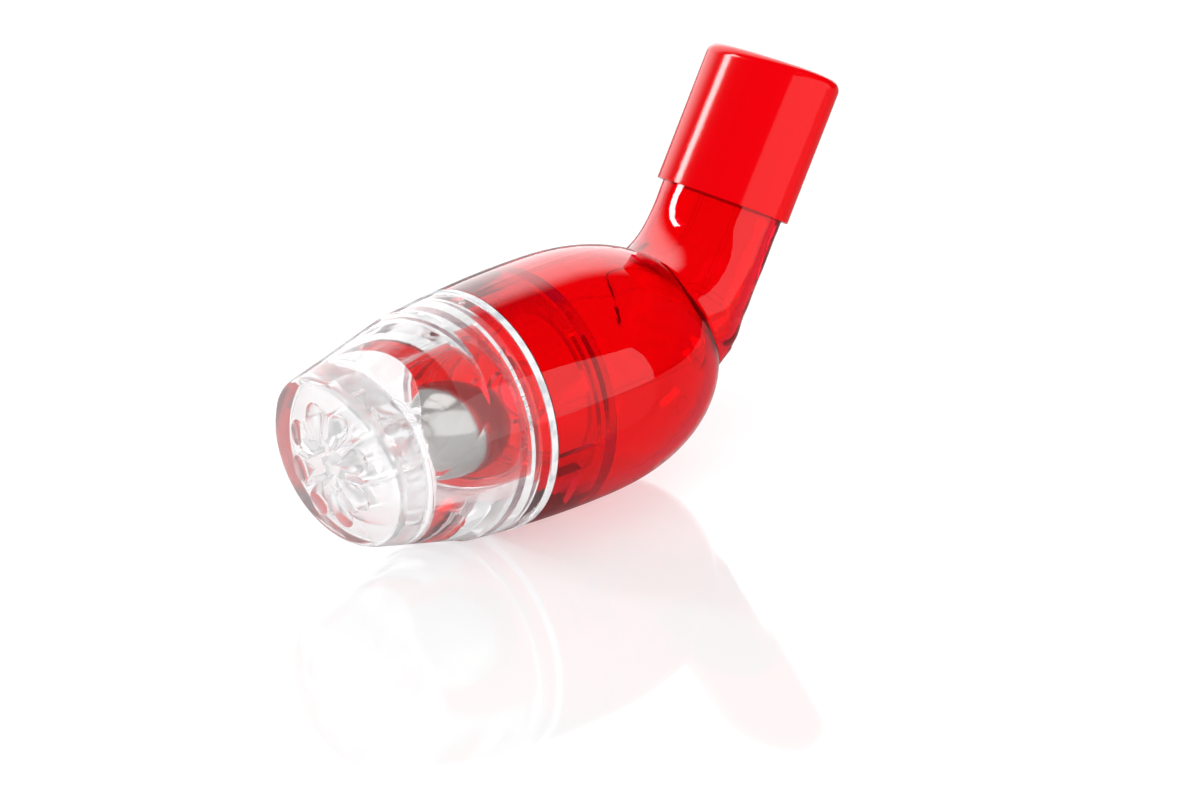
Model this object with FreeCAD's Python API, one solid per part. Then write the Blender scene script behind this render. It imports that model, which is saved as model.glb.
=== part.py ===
"""Hand-held oscillating positive-pressure breathing trainer.

A red egg-shaped housing carries a flat oval mouthpiece tube. Its open front takes a clear
perforated nose cap on a two-lug bayonet. A cone inside the socket holds a loose steel ball,
and a pull-off cap covers the mouthpiece. Lengths are in millimetres, angles in degrees.
While it is drawn, +X runs from the nose to the rear along the head's axis, +Z is up, and the
joint between nose and housing is at x = 0. The finished model's origin is under its middle.
"""
import FreeCAD, Part
import math
import os

Vector = FreeCAD.Vector

# Head: an egg of revolution about X, whose open front is the joint plane x = 0
joint_radius = 22.0          # outer radius of housing and nose where they meet
egg_radius = 22.85           # largest outer radius
egg_widest = 19.5            # distance of the widest place behind the joint plane
egg_rear = 32.3              # from the widest place to the rear end
egg_fullness = 2.29          # superellipse exponent of the rear half, 2 is a plain ellipse
housing_wall = 2.3

# Socket in the housing's front, and the ledge that the cone's skirt stands on
socket_radius = 18.8
socket_depth = 12.2
ledge_thickness = 1.8
ledge_bore_radius = 13.6

# Bayonet: two lugs on the nose's spigot run in two L-shaped grooves of the socket
lug_count = 2
lug_diameter = 3.4
lug_height = 1.45            # how far a lug stands out of the spigot
lug_position = 8.6           # distance of the lug's axis behind the joint plane
lug_closed_angle = 43.0      # from -Y towards -Z, with the nose locked
twist_angle = 30.0           # from locked to the grooves' way out
groove_side_gap = 0.2
groove_depth_gap = 0.25

# Mouthpiece tube: leaves the rear of the egg, with a flat oval mouth
tube_start = 47.4            # where its axis leaves the head's axis
tube_angle = 59.3            # between the head's axis and the tube's axis
tube_wall = 1.9
tube_fullness = 2.3          # superellipse exponent of its sections
section_points = 12          # spline points round one section
mouth_half_width = 14.2
mouth_half_height = 6.15
mouth_start = 25.0           # along the tube's axis, where the plain oval part begins
mouth_end = 52.4
flare_start = 21.0           # along the tube's axis, where its front side begins to flare
flare_radius = 7.6           # of the concave blend into the top of the egg
heel_place = 2.0             # along the tube's axis, where the rear side turns into the egg
root_place = -8.0            # along the tube's axis, inside the egg
root_half_width = 11.5
root_front_height = 20.0
root_rear_height = 4.2

# Mouthpiece cap, pulled off along the tube
pull_cap_start = 27.0
pull_cap_end = 54.4
pull_cap_wall = 1.1
pull_cap_gap = 0.08
pull_cap_edge = 2.0          # rounding of its closed end

# Perforated nose cap: thick and clear, pressed to an oval at its domed front for the fingers
cap_length = 30.8            # from the joint plane to the rim of the domed front
cap_middle = 14.0            # a place on the side's arc ahead of the joint plane, and its radius
cap_middle_radius = 20.5
cap_front_radius = 17.8      # outer radius at the rim of the domed front
cap_crown = 2.7              # how far the middle of the front stands beyond its rim
cap_edge_rounding = 1.6
cap_front_wall = 6.4
cap_wall = 2.4
grip_front_height = 14.2     # half height of the oval at the rim of the front
grip_front_width = 18.0      # and its half width
grip_rear_height = 20.7      # the same where the oval ends in a cove
grip_rear_width = 22.0
grip_rear_end = 9.0          # distance of that place ahead of the joint plane
grip_cove_radius = 4.0
grip_turn = 10.0             # the oval's short axis, from +Z towards -Y
chamber_radius = 15.4
chamber_rounding = 1.5
cap_shoulder = 2.6           # distance of the inner shoulder ahead of the joint plane
spigot_length = 11.3
spigot_wall = 1.75
spigot_gap = 0.08            # running clearance of the spigot in the socket
joint_gap = 0.2              # between the nose's rear face and the housing's front face

# Front pattern: radial slots through the wall, with petal-shaped scoops between them
slot_count = 8
slot_width = 1.25
slot_inner_radius = 5.0
slot_outer_radius = 9.4
petal_inner_radius = 2.6     # of the pointed tip, from the head's axis
petal_outer_radius = 9.0     # of the middle of the round end
petal_end_radius = 3.2
petal_tip_lift = 0.2         # how far the scoop's centre line lies ahead of the dome at its tip
petal_end_lift = 2.0         # and at its round end

# Ball stop: fins round a core, behind the front wall
fin_base_radius = 6.8
fin_tip_radius = 5.4
fin_thickness = 1.5
fin_core_radius = 2.4

# Ball, and the cone that it seats in
ball_radius = 9.5
ball_seat_position = -1.4    # x of the ball's centre when it is seated
ball_roll = 3.8              # how far the ball rolls down the cone to its rest
ball_gap = 0.25              # to the cone and to the fins
cone_half_angle = 38.0
cone_wall = 1.5
cone_throat_radius = 4.6
cone_throat_length = 2.4
cone_skirt_wall = 1.3
cone_fit_gap = 0.15          # round the skirt
cone_end_gap = 0.15          # to the ledge and to the nose's shoulder

# Values worked out from the ones above
tube_direction = Vector(math.cos(math.radians(tube_angle)), 0, math.sin(math.radians(tube_angle)))
tube_origin = Vector(tube_start, 0, 0)
tube_across = Vector(0, 1, 0)
tube_front = tube_direction.cross(tube_across)
x_axis = Vector(1, 0, 0)
origin = Vector(0, 0, 0)
spigot_radius = socket_radius - spigot_gap
spigot_bore_radius = spigot_radius - spigot_wall
skirt_radius = spigot_bore_radius - cone_fit_gap
cone_front = -cap_shoulder + cone_end_gap
cone_rear = socket_depth - cone_end_gap
cone_angle = math.radians(cone_half_angle)
ball_fall = ball_roll * math.sin(cone_angle)
ball_rest_position = ball_seat_position - ball_roll * math.cos(cone_angle)
fin_tips = ball_rest_position - ball_radius - ball_gap
chamber_front = -cap_length + cap_front_wall
dome_radius = (cap_front_radius ** 2 + cap_crown ** 2) / (2 * cap_crown)
cap_apex = -cap_length - cap_crown


# Drawing helpers


def on_axis(x, radius=0.0):
    """A point of a half section: x along the head's axis, radius above it."""
    return Vector(x, 0, radius)


def lines(*points):
    """The straight edges from point to point."""
    return [Part.makeLine(a, b) for a, b in zip(points, points[1:])]


def revolve(edges):
    """Turn a closed half section about the head's axis."""
    return Part.Face(Part.Wire(edges)).revolve(origin, x_axis, 360)


def disc(radius, start, end):
    """A cylinder about the head's axis from x = start to x = end."""
    return Part.makeCylinder(radius, end - start, on_axis(start), x_axis)


def turned(shape, angle):
    """A copy turned about the head's axis, from +Z towards -Y and on towards -Z."""
    copy = shape.copy()
    copy.rotate(origin, x_axis, angle)
    return copy


def around(shape, count, first=0.0):
    """Copies of a shape, evenly spaced about the head's axis."""
    return [turned(shape, first + 360 / count * step) for step in range(count)]


# Housing


def egg_half_section(inset, front):
    """Half section of the egg, set in by a wall, from x = front to its rear end."""
    widest_radius = egg_radius - inset
    rear = egg_rear - inset
    crown = egg_radius - joint_radius
    arc_radius = (egg_widest ** 2 + crown ** 2) / (2 * crown) - inset
    centre = on_axis(egg_widest, widest_radius - arc_radius)
    half_angle = math.asin((egg_widest - front) / arc_radius) / 2
    start, middle = [centre + Vector(-math.sin(angle), 0, math.cos(angle)) * arc_radius
                     for angle in (2 * half_angle, half_angle)]
    points = []
    steps = 8
    for step in range(steps):
        angle = math.pi / 2 * step / steps
        points.append(on_axis(egg_widest + rear * math.sin(angle) ** (2 / egg_fullness),
                              widest_radius * math.cos(angle) ** (2 / egg_fullness)))
    points.append(on_axis(egg_widest + rear))
    curve = Part.BSplineCurve()
    curve.interpolate(points, InitialTangent=Vector(1, 0, 0), FinalTangent=Vector(0, 0, -1))
    arc = Part.Arc(start, middle, points[0])
    return [arc.toShape(), curve.toShape()] + lines(points[-1], on_axis(front), start)


def tube_section(place, half_width, front_height, rear_height, inset):
    """Flat oval across the tube's axis, with its own height on its front and on its rear side."""
    centre = tube_origin + tube_direction * place
    points = []
    for step in range(section_points):
        angle = 2 * math.pi * step / section_points
        cosine, sine = math.cos(angle), math.sin(angle)
        height = (front_height if sine > 0 else rear_height) - inset
        across = (half_width - inset) * math.copysign(abs(cosine) ** (2 / tube_fullness), cosine)
        up = height * math.copysign(abs(sine) ** (2 / tube_fullness), sine)
        points.append(centre + tube_across * across + tube_front * up)
    curve = Part.BSplineCurve()
    curve.interpolate(points, PeriodicFlag=True)
    return Part.Wire(curve.toShape())


def mouth_section(place, inset=0.0):
    return tube_section(place, mouth_half_width, mouth_half_height, mouth_half_height, inset)


def flared_section(place, inset):
    """A section of the blend: its front side follows a parabola of the blend's radius."""
    front_height = mouth_half_height + (flare_start - place) ** 2 / (2 * flare_radius)
    return tube_section(place, mouth_half_width, front_height, mouth_half_height, inset)


def tube_solid(inset, end):
    """The tube's outer form, or its bore when set in by the wall, up to a place on its axis."""
    flare_steps = 4
    sections = [flared_section(heel_place + (flare_start - heel_place) * step / flare_steps, inset)
                for step in range(flare_steps)]
    sections += [mouth_section(flare_start, inset), mouth_section(mouth_start, inset)]
    flare = Part.makeLoft(sections, True, False)
    root_section = tube_section(root_place, root_half_width, root_front_height, root_rear_height, inset)
    root = Part.makeLoft([root_section, sections[0]], True, True)
    mouth = Part.Face(mouth_section(mouth_start, inset)).extrude(tube_direction * (end - mouth_start))
    return flare.fuse([root, mouth])


def bayonet_groove():
    """One L-shaped groove: straight in from the housing's front, then round to the locked end."""
    width = lug_diameter + 2 * groove_side_gap
    outer = spigot_radius + lug_height + groove_depth_gap
    inner = socket_radius - housing_wall / 2
    pin = Part.makeCylinder(width / 2, outer + width, on_axis(lug_position), Vector(0, 0, 1))
    entry = Part.makeBox(lug_position, width, outer + width, Vector(0, -width / 2, 0)).fuse(pin)
    near, far = lug_position - width / 2, lug_position + width / 2
    arm_profile = Part.Face(Part.Wire(lines(on_axis(near, inner), on_axis(far, inner), on_axis(far, outer),
                                            on_axis(near, outer), on_axis(near, inner))))
    arm = arm_profile.revolve(origin, x_axis, twist_angle)
    ring = disc(outer, 0, socket_depth).cut(disc(inner, 0, socket_depth))
    groove = entry.fuse(turned(pin, twist_angle)).common(ring).fuse(arm)
    return turned(groove, 90 + lug_closed_angle - twist_angle)


def make_housing():
    egg = revolve(egg_half_section(0, 0))
    outside = egg.fuse(tube_solid(0, mouth_end))
    cavity = revolve(egg_half_section(housing_wall, socket_depth + ledge_thickness))
    socket = disc(socket_radius, 0, socket_depth)
    ledge_bore = disc(ledge_bore_radius, 0, socket_depth + 2 * ledge_thickness)
    tube_bore = tube_solid(tube_wall, mouth_end + tube_wall)
    housing = outside.cut([cavity, socket, ledge_bore, tube_bore])
    return housing.cut(around(bayonet_groove(), lug_count))


# Cone and ball


def make_ball_cone():
    """Insert: a skirt that stands on the ledge, and inside it the cone and its throat."""
    slope = math.tan(cone_angle)
    seat_place = ball_seat_position + ball_radius * math.sin(cone_angle)
    seat_radius = (ball_radius + ball_gap) * math.cos(cone_angle) + ball_gap * math.sin(cone_angle) * slope
    back = cone_wall / math.cos(cone_angle)
    rim_back = cone_front + cone_wall
    skirt_inner = skirt_radius - cone_skirt_wall

    def face_radius(x):
        return seat_radius + (seat_place - x) * slope

    throat_place = seat_place + (seat_radius - cone_throat_radius) / slope
    throat_end = throat_place + cone_throat_length
    throat_outer = cone_throat_radius + cone_wall
    throat_back = throat_place - (cone_wall - back) / slope
    return revolve(lines(on_axis(cone_front, face_radius(cone_front)),
                         on_axis(throat_place, cone_throat_radius),
                         on_axis(throat_end, cone_throat_radius),
                         on_axis(throat_end, throat_outer),
                         on_axis(throat_back, throat_outer),
                         on_axis(rim_back, face_radius(rim_back) + back),
                         on_axis(rim_back, skirt_inner),
                         on_axis(cone_rear, skirt_inner),
                         on_axis(cone_rear, skirt_radius),
                         on_axis(cone_front, skirt_radius),
                         on_axis(cone_front, face_radius(cone_front))))


def make_steel_ball():
    """The ball at its rest, rolled down the cone towards the nose."""
    return Part.makeSphere(ball_radius, on_axis(ball_rest_position, -ball_fall))


# Perforated nose cap


def nose_body():
    """The nose as turned: a long arc for its side and a shallow dome for its front."""
    rear_rim = on_axis(-joint_gap, joint_radius)
    front_rim = on_axis(-cap_length, cap_front_radius)
    half_angle = math.asin(cap_front_radius / dome_radius) / 2
    dome_middle = on_axis(cap_apex + dome_radius * (1 - math.cos(half_angle)),
                          dome_radius * math.sin(half_angle))
    side = Part.Arc(rear_rim, on_axis(-cap_middle, cap_middle_radius), front_rim)
    dome = Part.Arc(front_rim, dome_middle, on_axis(cap_apex))
    return revolve([side.toShape(), dome.toShape()] + lines(on_axis(cap_apex), on_axis(-joint_gap), rear_rim))


def grip_cutter(wall, cove):
    """What the oval grip takes away from the nose, or with a wall what it keeps out of the chamber."""
    front = 2 * cap_apex
    reach = 2 * joint_radius
    run = cap_length - grip_rear_end

    def oval(x):
        share = (x + cap_length) / run
        width = grip_front_width + (grip_rear_width - grip_front_width) * share - wall
        height = grip_front_height + (grip_rear_height - grip_front_height) * share - wall
        ellipse = Part.Ellipse(Vector(x, width, 0), Vector(x, 0, height), Vector(x, 0, 0))
        return Part.Wire(ellipse.toShape())

    rear = -grip_rear_end
    oval_cone = Part.makeLoft([oval(cap_apex), oval(rear)], True, True)
    cutter = disc(reach, front, rear).cut([oval_cone, disc(grip_front_height, front, cap_apex)])
    if cove:
        rear_edges = [edge for edge in cutter.Edges
                      if edge.BoundBox.XMin > rear - cap_wall and edge.BoundBox.ZMax < grip_rear_width]
        cutter = cutter.makeFillet(grip_cove_radius, rear_edges)
    return turned(cutter, grip_turn)


def chamber():
    """The hollow of the nose behind its front wall, and the spigot's bore."""
    hollow = disc(chamber_radius, chamber_front, -cap_shoulder).cut(grip_cutter(cap_wall, False))
    front_edges = [edge for edge in hollow.Edges if edge.BoundBox.XMax < chamber_front + cap_wall / 4]
    hollow = hollow.makeFillet(chamber_rounding, front_edges)
    return hollow.fuse(disc(spigot_bore_radius, -cap_shoulder, spigot_length))


def slot_cutter():
    """One radial slot with round ends, through the front wall."""
    depth = cap_front_wall + cap_crown + chamber_rounding
    half = slot_width / 2
    inner = slot_inner_radius + half
    outer = slot_outer_radius - half
    middle = Part.makeBox(depth, slot_width, outer - inner, Vector(cap_apex, -half, inner))
    ends = [Part.makeCylinder(half, depth, on_axis(cap_apex, radius), x_axis) for radius in (inner, outer)]
    return middle.fuse(ends)


def petal_scoop():
    """One teardrop scoop in the dome: pointed near its middle, round at its outer end."""
    def over_dome(radius, lift):
        return on_axis(cap_apex + dome_radius - math.sqrt(dome_radius ** 2 - radius ** 2) - lift, radius)

    tip = over_dome(petal_inner_radius, petal_tip_lift)
    centre = over_dome(petal_outer_radius, petal_end_lift)
    reach = centre - tip
    run = Vector(reach).normalize()
    side = Vector(-run.z, 0, run.x)
    angle = math.asin(petal_end_radius / reach.Length)
    touch = centre - run * petal_end_radius * math.sin(angle) + side * petal_end_radius * math.cos(angle)
    end = centre + run * petal_end_radius
    bend = centre + (run + side).normalize() * petal_end_radius
    outline = lines(end, tip, touch) + [Part.Arc(touch, bend, end).toShape()]
    return Part.Face(Part.Wire(outline)).revolve(tip, run, 360)


def ball_stop():
    """Fins round a core, from the front wall to just before the resting ball."""
    base = chamber_front - chamber_rounding
    length = fin_tips - base
    envelope = Part.makeCone(fin_base_radius, fin_tip_radius, length, on_axis(base), x_axis)
    fin = Part.makeBox(length, fin_thickness, fin_base_radius, Vector(base, -fin_thickness / 2, 0))
    fins = around(fin, slot_count, 180 / slot_count)
    return disc(fin_core_radius, base, fin_tips).fuse(fins).common(envelope)


def make_perforated_cap():
    nose = nose_body().cut(grip_cutter(0, True))
    rim_edges = [edge for edge in nose.Edges if edge.BoundBox.XMax < -cap_length + cap_edge_rounding]
    nose = nose.makeFillet(cap_edge_rounding, rim_edges)
    spigot = disc(spigot_radius, -joint_gap - spigot_wall, spigot_length)
    body = nose.fuse(spigot).cut(chamber())
    body = body.cut(around(slot_cutter(), slot_count))
    body = body.cut(around(petal_scoop(), slot_count, 180 / slot_count))
    lug = Part.makeCylinder(lug_diameter / 2, spigot_radius + lug_height, on_axis(lug_position),
                            Vector(0, 0, 1)).common(disc(spigot_radius + lug_height, 0, socket_depth))
    lug = lug.cut(disc(spigot_radius - spigot_wall / 2, 0, socket_depth))
    return body.fuse([ball_stop()] + around(lug, lug_count, 90 + lug_closed_angle))


# Mouthpiece cap


def make_mouthpiece_cap():
    length = pull_cap_end - pull_cap_start
    face = Part.Face(mouth_section(pull_cap_start, -pull_cap_gap - pull_cap_wall))
    outside = face.extrude(tube_direction * length)
    end_edges = [edge for edge in outside.Edges
                 if (edge.CenterOfMass - tube_origin).dot(tube_direction) > pull_cap_end - pull_cap_wall]
    outside = outside.makeFillet(pull_cap_edge, end_edges)
    bore_length = mouth_end + pull_cap_gap - pull_cap_start
    bore = Part.Face(mouth_section(pull_cap_start, -pull_cap_gap)).extrude(tube_direction * bore_length)
    return outside.cut(bore)


def export(shapes):
    """Move the origin under the middle of the device and write one file for each piece."""
    box = FreeCAD.BoundBox()
    for shape in shapes.values():
        box.add(shape.optimalBoundingBox(False))
    shift = Vector(-(box.XMin + box.XMax) / 2, -(box.YMin + box.YMax) / 2, -box.ZMin)
    print("joint plane's centre:", [round(value, 4) for value in shift])
    os.makedirs("parts", exist_ok=True)
    for name, shape in shapes.items():
        solid = shape.Solids[0].translated(shift)
        print(name, "valid" if solid.isValid() else "not valid", len(shape.Solids), round(solid.Volume, 1))
        solid.exportStep("parts/" + name + ".step")


export({
    "housing": make_housing(),
    "ball_cone": make_ball_cone(),
    "steel_ball": make_steel_ball(),
    "perforated_cap": make_perforated_cap(),
    "mouthpiece_cap": make_mouthpiece_cap(),
})
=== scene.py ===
import bpy
import math
from mathutils import Matrix, Vector


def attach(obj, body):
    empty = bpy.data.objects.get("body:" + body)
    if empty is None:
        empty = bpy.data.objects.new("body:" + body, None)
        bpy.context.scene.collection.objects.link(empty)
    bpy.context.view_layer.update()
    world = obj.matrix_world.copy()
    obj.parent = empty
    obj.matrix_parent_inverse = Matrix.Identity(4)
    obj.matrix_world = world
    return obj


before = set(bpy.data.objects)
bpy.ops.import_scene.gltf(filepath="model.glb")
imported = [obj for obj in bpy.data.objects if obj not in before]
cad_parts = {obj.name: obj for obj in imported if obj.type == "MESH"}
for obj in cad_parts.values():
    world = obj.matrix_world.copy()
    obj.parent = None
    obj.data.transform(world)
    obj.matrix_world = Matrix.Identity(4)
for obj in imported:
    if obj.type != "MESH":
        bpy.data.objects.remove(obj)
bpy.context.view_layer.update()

# Places on the object, in metres. The camera and the nose's lip are measured from the centre of
# the joint ring between the clear nose and the red housing.
ring_centre = Vector((-0.023618, 0.0, 0.02285))
object_middle = Vector((0.0, 0.0, 0.036))
cap_middle = Vector((0.044, 0.0, 0.058))

# Camera, as fitted to the photograph
camera_offset = Vector((-0.306989, -0.367030, 0.216214))    # from the ring's centre
camera_heading = 42.54       # from +Y towards +X, degrees
camera_tilt = 24.19          # below the horizon
camera_roll = -0.833
camera_lens = 89.30          # millimetres on a 36 mm sensor

# Fine marks of the housing's mould
seam_width = 0.00012
side_seam_height = 0.0284
gate_mark = (0.0056, -0.0222, 0.0218)
gate_mark_radius = 0.0015
mark_colour = (0.45, 0.0, 0.004, 1)

# How much of the light goes straight through each plastic. The rest is its own faint haze.
red_clearness = 0.97
nose_clearness = 0.99
nose_front_clearness = 0.73
haze_start, haze_full = -0.044, -0.055     # along the object's X axis, towards the nose's front

# Surroundings: a white backdrop, seen in reflections as a round field with this half width,
# and a dim studio beside and above it. Angles in degrees.
backdrop_azimuth = 150.0         # from -Y towards +X
backdrop_elevation = 10.0
backdrop_half_width = 39.0
backdrop_fade = 10.0             # how far its soft edge reaches outwards
backdrop_inner_fade = 6.0        # and inwards
backdrop_level = 2.32            # in a reflection
studio_level = 0.0096            # what a reflection shows beside the backdrop
backdrop_through_level = 0.90    # what shows through clear plastic in the backdrop's direction
studio_through_level = 0.72      # and away from it
through_inner, through_edge = 45.0, 80.0   # where the first ends and the second begins
lighting_level = 0.336           # what lights matt surfaces from all round

# Floor
floor_radius = 0.88              # inside the large panel
floor_drop = 0.0002              # how far it lies below the object
floor_colour = 0.93
floor_reflected_level = 0.35     # its colour in the object's reflections
floor_glow = 0.24                # brings it to white where it is seen
floor_gloss = 0.13               # the share of the light that it mirrors


def new_material(name):
    material = bpy.data.materials.new(name)
    material.use_nodes = True
    return material, material.node_tree.nodes, material.node_tree.links


def principled(material):
    return next(node for node in material.node_tree.nodes if node.type == "BSDF_PRINCIPLED")


def add_noise_bump(material, scale, strength, distance):
    """A faint unevenness of the surface, from noise in the object's own coordinates."""
    nodes, links = material.node_tree.nodes, material.node_tree.links
    place = nodes.new("ShaderNodeTexCoord")
    noise = nodes.new("ShaderNodeTexNoise")
    noise.inputs["Scale"].default_value = scale
    noise.inputs["Detail"].default_value = 2.0
    bump = nodes.new("ShaderNodeBump")
    bump.inputs["Strength"].default_value = strength
    bump.inputs["Distance"].default_value = distance
    links.new(place.outputs["Object"], noise.inputs["Vector"])
    links.new(noise.outputs["Fac"], bump.inputs["Height"])
    links.new(bump.outputs["Normal"], principled(material).inputs["Normal"])


def clear_plastic(name, colour, clearness, roughness, ior, shade):
    """See-through plastic that lets light fall through it on to the floor, tinted by its shade."""
    material, nodes, links = new_material(name)
    shader = principled(material)
    shader.inputs["Base Color"].default_value = (*colour, 1)
    shader.inputs["Roughness"].default_value = roughness
    shader.inputs["IOR"].default_value = ior
    shader.inputs["Transmission Weight"].default_value = clearness
    add_noise_bump(material, 60.0, 0.03, 0.0004)
    tint = nodes.new("ShaderNodeBsdfTransparent")
    tint.inputs["Color"].default_value = (*shade, 1)
    path = nodes.new("ShaderNodeLightPath")
    light_ray = nodes.new("ShaderNodeMath")
    light_ray.operation = "MAXIMUM"
    links.new(path.outputs["Is Shadow Ray"], light_ray.inputs[0])
    links.new(path.outputs["Is Diffuse Ray"], light_ray.inputs[1])
    mix = nodes.new("ShaderNodeMixShader")
    out = next(node for node in nodes if node.type == "OUTPUT_MATERIAL")
    links.new(light_ray.outputs["Value"], mix.inputs["Fac"])
    links.new(shader.outputs["BSDF"], mix.inputs[1])
    links.new(tint.outputs["BSDF"], mix.inputs[2])
    links.new(mix.outputs["Shader"], out.inputs["Surface"])
    return material


def opaque_plastic(name, colour, roughness):
    material = new_material(name)[0]
    shader = principled(material)
    shader.inputs["Base Color"].default_value = (*colour, 1)
    shader.inputs["Roughness"].default_value = roughness
    shader.inputs["IOR"].default_value = 1.5
    shader.inputs["Specular IOR Level"].default_value = 0.33
    add_noise_bump(material, 90.0, 0.05, 0.0003)
    return material


def polished_steel(name):
    material = new_material(name)[0]
    shader = principled(material)
    shader.inputs["Base Color"].default_value = (0.40, 0.395, 0.38, 1)
    shader.inputs["Metallic"].default_value = 1.0
    shader.inputs["Roughness"].default_value = 0.17
    add_noise_bump(material, 260.0, 0.12, 0.0001)
    return material


def add_mould_marks(material):
    """The housing's fine parting lines, along its top and its sides, and its round gate mark."""
    nodes, links = material.node_tree.nodes, material.node_tree.links
    shader = principled(material)
    place = nodes.new("ShaderNodeTexCoord")
    parts = nodes.new("ShaderNodeSeparateXYZ")
    links.new(place.outputs["Object"], parts.inputs["Vector"])

    def near(value, target, width):
        compare = nodes.new("ShaderNodeMath")
        compare.operation = "COMPARE"
        compare.inputs[1].default_value = target
        compare.inputs[2].default_value = width
        links.new(value, compare.inputs[0])
        return compare.outputs["Value"]

    def larger(first, second):
        node = nodes.new("ShaderNodeMath")
        node.operation = "MAXIMUM"
        links.new(first, node.inputs[0])
        links.new(second, node.inputs[1])
        return node.outputs["Value"]

    distance = nodes.new("ShaderNodeVectorMath")
    distance.operation = "DISTANCE"
    distance.inputs[1].default_value = gate_mark
    links.new(place.outputs["Object"], distance.inputs[0])
    top_line = near(parts.outputs["Y"], 0.0, seam_width / 2)
    side_line = near(parts.outputs["Z"], side_seam_height, seam_width / 2)
    ring = near(distance.outputs["Value"], gate_mark_radius, seam_width)
    marks = larger(larger(top_line, side_line), ring)
    colour = nodes.new("ShaderNodeMix")
    colour.data_type = "RGBA"
    colour.inputs["A"].default_value = shader.inputs["Base Color"].default_value
    colour.inputs["B"].default_value = mark_colour
    links.new(marks, colour.inputs["Factor"])
    links.new(colour.outputs["Result"], shader.inputs["Base Color"])


def add_dye(material, colour, density):
    """A dye that deepens the colour where the plastic is thick."""
    nodes, links = material.node_tree.nodes, material.node_tree.links
    dye = nodes.new("ShaderNodeVolumeAbsorption")
    dye.inputs["Color"].default_value = (*colour, 1)
    dye.inputs["Density"].default_value = density
    out = next(node for node in nodes if node.type == "OUTPUT_MATERIAL")
    links.new(dye.outputs["Volume"], out.inputs["Volume"])


def add_haze(material):
    """A faint haze towards the nose's front face."""
    nodes, links = material.node_tree.nodes, material.node_tree.links
    place = nodes.new("ShaderNodeTexCoord")
    parts = nodes.new("ShaderNodeSeparateXYZ")
    haze = nodes.new("ShaderNodeMapRange")
    haze.interpolation_type = "SMOOTHSTEP"
    haze.inputs["From Min"].default_value = haze_full
    haze.inputs["From Max"].default_value = haze_start
    haze.inputs["To Min"].default_value = nose_front_clearness
    haze.inputs["To Max"].default_value = nose_clearness
    links.new(place.outputs["Object"], parts.inputs["Vector"])
    links.new(parts.outputs["X"], haze.inputs["Value"])
    links.new(haze.outputs["Result"], principled(material).inputs["Transmission Weight"])


red_clear = clear_plastic("red_clear", (0.93, 0.002, 0.020), red_clearness, 0.01, 1.5,
                          shade=(0.985, 0.81, 0.835))
add_dye(red_clear, (0.88, 1.0, 0.92), 115.0)
add_mould_marks(red_clear)
red_insert = clear_plastic("red_insert", (1.0, 0.05, 0.07), red_clearness, 0.02, 1.5,
                           shade=(0.99, 0.92, 0.93))
clear = clear_plastic("clear", (0.992, 0.992, 0.995), nose_clearness, 0.02, 1.49,
                      shade=(0.966, 0.968, 0.974))
add_haze(clear)
red_opaque = opaque_plastic("red_opaque", (0.88, 0.0, 0.003), 0.10)
steel = polished_steel("steel")

for node, material in (("housing", red_clear), ("ball_cone", red_insert), ("perforated_cap", clear),
                       ("mouthpiece_cap", red_opaque), ("steel_ball", steel)):
    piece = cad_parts[node]
    piece.data.materials.clear()
    piece.data.materials.append(material)
    for face in piece.data.polygons:
        face.use_smooth = True


def turned_ring(name, profile, segments=192):
    """A ring about the head's axis from a closed profile of (place along it, radius) points."""
    vertices, faces = [], []
    count = len(profile)
    for step in range(segments):
        angle = 2 * math.pi * step / segments
        for along, radius in profile:
            round_place = Vector((along, radius * math.sin(angle), radius * math.cos(angle)))
            vertices.append(ring_centre + round_place)
        following = (step + 1) % segments
        for side in range(count):
            beside = (side + 1) % count
            faces.append((step * count + side, step * count + beside,
                          following * count + beside, following * count + side))
    mesh = bpy.data.meshes.new(name)
    mesh.from_pydata(vertices, [], faces)
    ring = bpy.data.objects.new(name, mesh)
    bpy.context.collection.objects.link(ring)
    return ring


def lip_painted_reflection():
    """Pale plastic with faint streaks along the ring: a painted reflection, standing in for the light
    that the lip's edge reflects.
    """
    material, nodes, links = new_material("lip_painted_reflection")
    shader = principled(material)
    shader.inputs["Roughness"].default_value = 0.22
    shader.inputs["IOR"].default_value = 1.49
    place = nodes.new("ShaderNodeTexCoord")
    noise = nodes.new("ShaderNodeTexNoise")
    noise.inputs["Scale"].default_value = 330.0
    noise.inputs["Detail"].default_value = 3.0
    links.new(place.outputs["Object"], noise.inputs["Vector"])
    shades = nodes.new("ShaderNodeValToRGB")
    shades.color_ramp.elements[0].position = 0.36
    shades.color_ramp.elements[0].color = (0.66, 0.68, 0.72, 1)
    shades.color_ramp.elements[1].position = 0.52
    shades.color_ramp.elements[1].color = (0.96, 0.96, 0.97, 1)
    links.new(noise.outputs["Fac"], shades.inputs["Fac"])
    links.new(shades.outputs["Color"], shader.inputs["Base Color"])
    return material


# The clear nose's rear lip, where it meets the housing, as a thin pale ring: the lip is real, and its
# white band is a painted reflection of the light in the joint and the lip's edge
lip_radius = 0.02206
lip_front, lip_rear = -0.00150, -0.00026    # along X from the joint ring's centre
lip_depth = 0.00030
lip_edge = 0.00008
lip_section = [(lip_front, lip_radius - lip_depth), (lip_front, lip_radius - lip_edge),
               (lip_front + lip_edge, lip_radius), (lip_rear - lip_edge, lip_radius),
               (lip_rear, lip_radius - lip_edge), (lip_rear, lip_radius - lip_depth)]
lip = turned_ring("nose_lip_painted_reflection", lip_section)
lip.data.materials.append(lip_painted_reflection())
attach(lip, "nose")


# Studio: a glossy white floor, one large panel on the camera's side, a strip and a top light that
# reflections don't show


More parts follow.
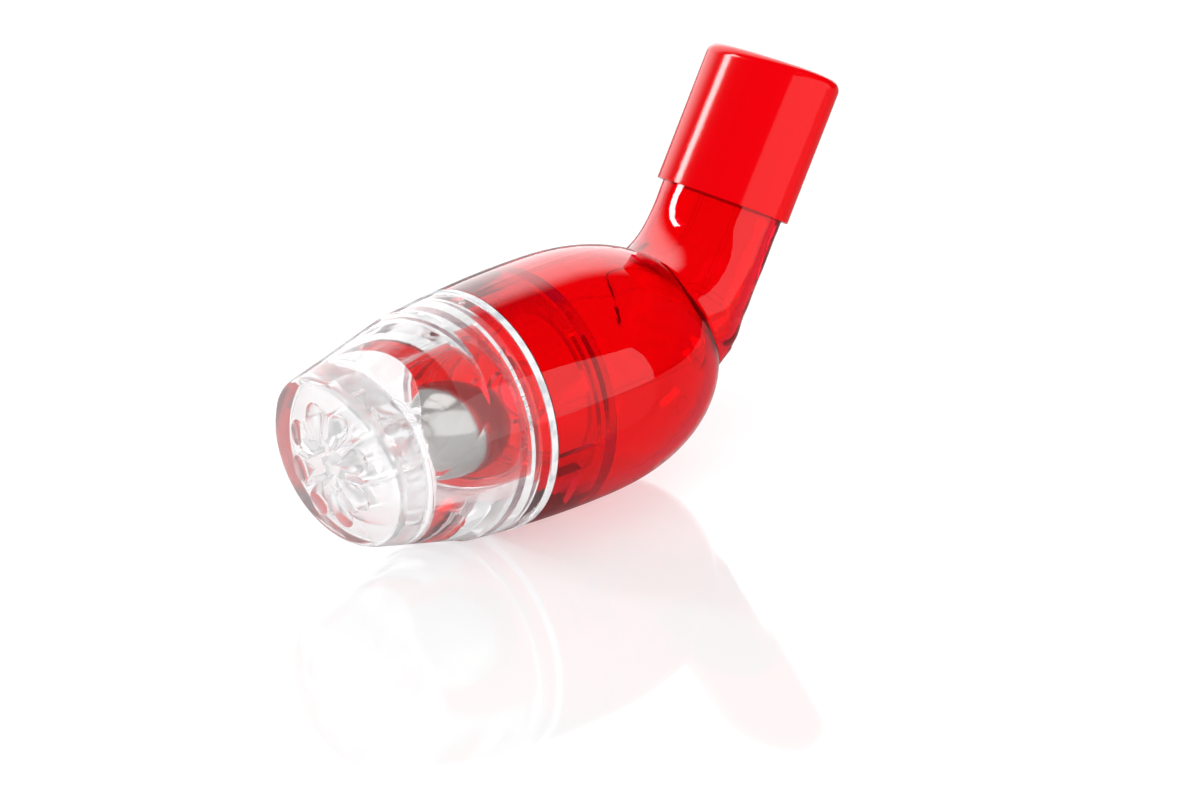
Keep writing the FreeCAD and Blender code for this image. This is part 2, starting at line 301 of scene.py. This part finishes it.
def floor_material():
    """Glossy white, a little brighter where it is seen, and dimmer in the object's reflections."""
    material, nodes, links = new_material("floor")
    shader = principled(material)
    shader.inputs["Specular IOR Level"].default_value = 0.0
    gloss = nodes.new("ShaderNodeBsdfGlossy")
    gloss.inputs["Roughness"].default_value = 0.06
    glossy_floor = nodes.new("ShaderNodeMixShader")
    glossy_floor.inputs["Fac"].default_value = floor_gloss
    out = next(node for node in nodes if node.type == "OUTPUT_MATERIAL")
    links.new(shader.outputs["BSDF"], glossy_floor.inputs[1])
    links.new(gloss.outputs["BSDF"], glossy_floor.inputs[2])
    links.new(glossy_floor.outputs["Shader"], out.inputs["Surface"])
    path = nodes.new("ShaderNodeLightPath")
    shade = nodes.new("ShaderNodeMapRange")
    shade.inputs["To Min"].default_value = floor_colour
    shade.inputs["To Max"].default_value = floor_reflected_level
    reflected = nodes.new("ShaderNodeMath")
    reflected.operation = "SUBTRACT"
    links.new(path.outputs["Is Glossy Ray"], reflected.inputs[0])
    links.new(path.outputs["Is Transmission Ray"], reflected.inputs[1])
    links.new(reflected.outputs["Value"], shade.inputs["Value"])
    links.new(shade.outputs["Result"], shader.inputs["Base Color"])
    glow = nodes.new("ShaderNodeMath")
    glow.operation = "MAXIMUM"
    links.new(path.outputs["Is Camera Ray"], glow.inputs[0])
    links.new(path.outputs["Is Transmission Ray"], glow.inputs[1])
    level = nodes.new("ShaderNodeMath")
    level.operation = "MULTIPLY"
    level.inputs[1].default_value = floor_glow
    links.new(glow.outputs["Value"], level.inputs[0])
    shader.inputs["Emission Color"].default_value = (1, 1, 1, 1)
    links.new(level.outputs["Value"], shader.inputs["Emission Strength"])
    return material


def round_floor(radius, height, material, segments=96):
    """The round studio floor, inside the large panel, so that white shows all round beyond it."""
    angles = [2 * math.pi * step / segments for step in range(segments)]
    corners = [(radius * math.cos(angle), radius * math.sin(angle), height) for angle in angles]
    mesh = bpy.data.meshes.new("floor")
    mesh.from_pydata(corners, [], [tuple(range(segments))])
    floor = bpy.data.objects.new("floor", mesh)
    floor.data.materials.append(material)
    bpy.context.collection.objects.link(floor)


round_floor(floor_radius, -floor_drop, floor_material())


def direction(azimuth, elevation):
    """A unit vector. Azimuth 0 is -Y and 90 is +X."""
    a, e = math.radians(azimuth), math.radians(elevation)
    return Vector((math.sin(a) * math.cos(e), -math.cos(a) * math.cos(e), math.sin(e)))


def soft_box(name, target, azimuth, elevation, distance, width, height, radiance):
    """An area light of a given brightness that faces a target point, seen from there in a direction."""
    data = bpy.data.lights.new(name, "AREA")
    data.shape = "RECTANGLE"
    data.size = width
    data.size_y = height
    data.energy = radiance * math.pi * width * height
    light = bpy.data.objects.new(name, data)
    light.location = Vector(target) + distance * direction(azimuth, elevation)
    light.rotation_euler = (Vector(target) - light.location).to_track_quat("-Z", "Y").to_euler()
    light.visible_camera = False
    bpy.context.collection.objects.link(light)
    return light


soft_box("front_panel", object_middle + Vector((0, 0, 0.63)), -30, 0, 0.95, 6.4, 1.76, 1.12)
soft_box("strip_left", cap_middle, -153, 24, 0.9, 0.085, 0.34, 18.0)
top_light = soft_box("box_top", object_middle, 20, 84, 1.0, 0.7, 0.7, 1.6)
top_light.visible_glossy = False


def make_world():
    world = bpy.data.worlds.new("room")
    bpy.context.scene.world = world
    world.use_nodes = True
    nodes, links = world.node_tree.nodes, world.node_tree.links
    nodes.clear()
    place = nodes.new("ShaderNodeTexCoord")
    path = nodes.new("ShaderNodeLightPath")

    def field(centre, edge_angle, inner_angle, outside, inside):
        """A round field of one level in surroundings of another, round a centre direction."""
        along = nodes.new("ShaderNodeVectorMath")
        along.operation = "DOT_PRODUCT"
        along.inputs[1].default_value = centre
        links.new(place.outputs["Generated"], along.inputs[0])
        level = nodes.new("ShaderNodeMapRange")
        level.interpolation_type = "SMOOTHSTEP"
        level.inputs["From Min"].default_value = math.cos(math.radians(edge_angle))
        level.inputs["From Max"].default_value = math.cos(math.radians(inner_angle))
        level.inputs["To Min"].default_value = outside
        level.inputs["To Max"].default_value = inside
        links.new(along.outputs["Value"], level.inputs["Value"])
        light = nodes.new("ShaderNodeBackground")
        light.inputs["Color"].default_value = (1, 1, 1, 1)
        links.new(level.outputs["Result"], light.inputs["Strength"])
        return light

    def plain(level):
        light = nodes.new("ShaderNodeBackground")
        light.inputs["Color"].default_value = (1, 1, 1, 1)
        light.inputs["Strength"].default_value = level
        return light

    def choose(ray_kind, other, chosen):
        mix = nodes.new("ShaderNodeMixShader")
        links.new(path.outputs[ray_kind], mix.inputs["Fac"])
        links.new(other.outputs[0], mix.inputs[1])
        links.new(chosen.outputs[0], mix.inputs[2])
        return mix

    backdrop = direction(backdrop_azimuth, backdrop_elevation)
    reflected = field(backdrop, backdrop_half_width + backdrop_fade,
                      backdrop_half_width - backdrop_inner_fade, studio_level, backdrop_level)
    through = field(backdrop, through_edge, through_inner,
                    studio_through_level, backdrop_through_level)
    view = choose("Is Glossy Ray", plain(lighting_level), reflected)
    view = choose("Is Transmission Ray", view, through)
    view = choose("Is Camera Ray", view, plain(1.0))
    out = nodes.new("ShaderNodeOutputWorld")
    links.new(view.outputs[0], out.inputs["Surface"])


make_world()

# Camera and render settings
camera_data = bpy.data.cameras.new("camera")
camera_data.lens = camera_lens
camera_data.sensor_width = 36.0
camera = bpy.data.objects.new("camera", camera_data)
camera.matrix_world = (Matrix.Translation(ring_centre + camera_offset)
                       @ Matrix.Rotation(math.radians(-camera_heading), 4, "Z")
                       @ Matrix.Rotation(math.radians(90 - camera_tilt), 4, "X")
                       @ Matrix.Rotation(math.radians(camera_roll), 4, "Z"))
bpy.context.collection.objects.link(camera)
scene = bpy.context.scene
scene.camera = camera
scene.view_settings.view_transform = "Standard"
scene.cycles.use_denoising = True
scene.cycles.max_bounces = 32
scene.cycles.transmission_bounces = 28
scene.cycles.glossy_bounces = 20
scene.cycles.diffuse_bounces = 3
scene.cycles.transparent_max_bounces = 24
